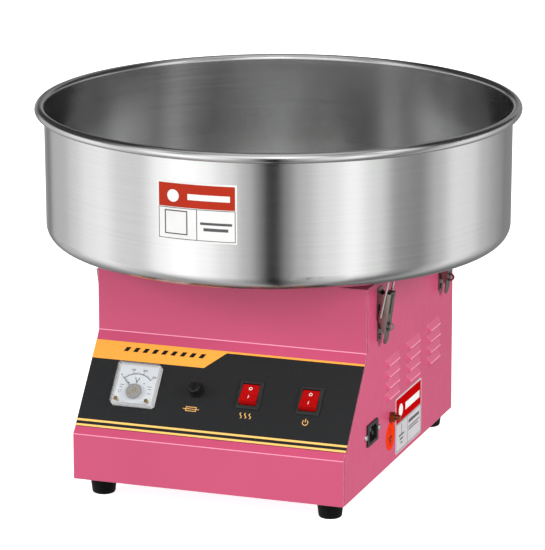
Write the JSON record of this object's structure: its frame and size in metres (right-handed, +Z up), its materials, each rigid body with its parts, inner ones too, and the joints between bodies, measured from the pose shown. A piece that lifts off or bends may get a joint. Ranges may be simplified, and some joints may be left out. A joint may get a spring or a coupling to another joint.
{
  "type": "cotton candy machine",
  "caption": "Countertop cotton candy machine: deep spun steel bowl latched to a sheet-metal casing with a sloping control face, voltmeter, fuse and rocker switches.",
  "frame": {"origin": "on the floor, under the centre of the bowl", "axes": "+Z up, control face towards -Y, mains inlet side towards +X"},
  "size_m": [0.5199, 0.52, 0.3904],
  "materials": {
    "pink_paint": "satin powder coat",
    "bowl_steel": "brushed",
    "latch_steel": "satin",
    "screw_steel": "bright",
    "plain_steel": "satin",
    "rubber_black": "matt",
    "overlay_black": "pebbled film",
    "print_colour": "printed film",
    "sticker": "printed film",
    "earth_print": "printed film",
    "meter_black": "gloss",
    "dial_white": "printed card",
    "meter_clear": "clear",
    "needle": "painted",
    "brass": "satin",
    "switch_black": "satin",
    "rocker_red": "gloss",
    "fuse_black": "gloss",
    "fuse_glass": "clear",
    "inlet_black": "satin",
    "head_aluminium": "turned",
    "heater": "heat-tinted",
    "ceramic": "matt",
    "insulator": "matt",
    "copper": "turned",
    "motor_paint": "satin",
    "iron": "raw",
    "carbon": "matt"
  },
  "bodies": {
    "frame": {"front_panel": "pink_paint", "right_side_panel": "pink_paint", "left_side_panel": "pink_paint", "rear_panel": "pink_paint", "base_plate": "pink_paint", "top_deck": "pink_paint", "feet": "rubber_black", "foot_screws": "screw_steel", "casing_screws": "screw_steel", "deck_pads": "rubber_black", "panel_overlay": "overlay_black", "overlay_print": "print_colour", "meter_case": "meter_black", "meter_dial": "dial_white", "meter_movement": "brass", "meter_cover": "meter_clear", "meter_screws": "brass", "fuse_holder": "fuse_black", "heat_switch_body": "switch_black", "power_switch_body": "switch_black", "power_inlet": "inlet_black", "inlet_pins": "plain_steel", "earth_terminal": "brass", "earth_sticker": "earth_print", "side_label": "sticker", "latch_bases": "latch_steel", "latch_rivets": "latch_steel", "motor_can": "motor_paint", "motor_bells": "motor_paint", "bearings": "plain_steel", "brush_holder": "insulator", "motor_bracket": "plain_steel", "motor_isolators": "rubber_black"},
    "bowl": {"bowl": "bowl_steel", "bowl_keepers": "latch_steel", "bowl_sticker": "sticker"},
    "spinner": {"head_base": "head_aluminium", "floss_band": "head_aluminium", "head_cap": "head_aluminium", "heating_ring": "heater", "ring_insulators": "ceramic", "head_screws": "screw_steel", "motor_shaft": "plain_steel", "rotor_core": "iron", "slip_hub": "insulator", "slip_rings": "copper"},
    "brushes": {"carbon_brushes": "carbon"},
    "heat_rocker": {"heat_rocker": "rocker_red"},
    "power_rocker": {"power_rocker": "rocker_red"},
    "fuse": {"fuse_tube": "fuse_glass"},
    "fuse_cap": {"fuse_cap": "fuse_black"},
    "needle": {"meter_needle": "needle"},
    "lever_front_right": {"lever_front_right": "latch_steel"},
    "bail_front_right": {"bail_front_right": "latch_steel"},
    "lever_rear_right": {"lever_rear_right": "latch_steel"},
    "bail_rear_right": {"bail_rear_right": "latch_steel"},
    "lever_front_left": {"lever_front_left": "latch_steel"},
    "bail_front_left": {"bail_front_left": "latch_steel"},
    "lever_rear_left": {"lever_rear_left": "latch_steel"},
    "bail_rear_left": {"bail_rear_left": "latch_steel"}
  },
  "joints": [
    {"name": "bowl_lift", "type": "slide", "parent": "frame", "child": "bowl", "axis": [0, 0, 1], "range_m": [0, 0.25]},
    {"name": "head_spin", "type": "hinge", "parent": "frame", "child": "spinner", "pos_m": [0, 0, 0.2], "axis": [0, 0, 1], "continuous": true},
    {"name": "brush_retract", "type": "slide", "parent": "frame", "child": "brushes", "axis": [1, 0, 0], "range_m": [0, 0.006]},
    {"name": "heat_switch", "type": "hinge", "parent": "frame", "child": "heat_rocker", "pos_m": [0.0334, -0.18122, 0.11534], "axis": [1, 0, 0], "range_deg": [0, 24]},
    {"name": "power_switch", "type": "hinge", "parent": "frame", "child": "power_rocker", "pos_m": [0.0992, -0.18122, 0.11534], "axis": [1, 0, 0], "range_deg": [0, 24]},
    {"name": "fuse_draw", "type": "slide", "parent": "frame", "child": "fuse", "axis": [0, -0.781, 0.6246], "range_m": [0, 0.035]},
    {"name": "fuse_cap_turn", "type": "hinge", "parent": "fuse", "child": "fuse_cap", "pos_m": [-0.025, -0.18813, 0.11983], "axis": [0, -0.781, 0.6246], "range_deg": [0, 90]},
    {"name": "needle_swing", "type": "hinge", "parent": "frame", "child": "needle", "pos_m": [-0.0915, -0.19468, 0.11227], "axis": [0, 0.781, -0.6246], "range_deg": [0, 90], "stiffness_Nm_per_rad": 0.00002},
    {"name": "lever_swing_front_right", "type": "hinge", "parent": "frame", "child": "lever_front_right", "pos_m": [0.1597, -0.108, 0.216], "axis": [0, -1, 0], "range_deg": [0, 100]},
    {"name": "bail_swing_front_right", "type": "hinge", "parent": "lever_front_right", "child": "bail_front_right", "pos_m": [0.154, -0.108, 0.194], "axis": [0, 1, 0], "range_deg": [0, 171]},
    {"name": "lever_swing_rear_right", "type": "hinge", "parent": "frame", "child": "lever_rear_right", "pos_m": [0.1597, 0.108, 0.216], "axis": [0, -1, 0], "range_deg": [0, 100]},
    {"name": "bail_swing_rear_right", "type": "hinge", "parent": "lever_rear_right", "child": "bail_rear_right", "pos_m": [0.154, 0.108, 0.194], "axis": [0, 1, 0], "range_deg": [0, 171]},
    {"name": "lever_swing_front_left", "type": "hinge", "parent": "frame", "child": "lever_front_left", "pos_m": [-0.1597, -0.108, 0.216], "axis": [0, 1, 0], "range_deg": [0, 100]},
    {"name": "bail_swing_front_left", "type": "hinge", "parent": "lever_front_left", "child": "bail_front_left", "pos_m": [-0.154, -0.108, 0.194], "axis": [0, -1, 0], "range_deg": [0, 171]},
    {"name": "lever_swing_rear_left", "type": "hinge", "parent": "frame", "child": "lever_rear_left", "pos_m": [-0.1597, 0.108, 0.216], "axis": [0, 1, 0], "range_deg": [0, 100]},
    {"name": "bail_swing_rear_left", "type": "hinge", "parent": "lever_rear_left", "child": "bail_rear_left", "pos_m": [-0.154, 0.108, 0.194], "axis": [0, -1, 0], "range_deg": [0, 171]}
  ],
  "couplings": [
    {"joint": "bail_swing_front_right", "follows": "lever_swing_front_right", "ratio": 1.7},
    {"joint": "bail_swing_rear_right", "follows": "lever_swing_rear_right", "ratio": 1.7},
    {"joint": "bail_swing_front_left", "follows": "lever_swing_front_left", "ratio": 1.7},
    {"joint": "bail_swing_rear_left", "follows": "lever_swing_rear_left", "ratio": 1.7}
  ]
}
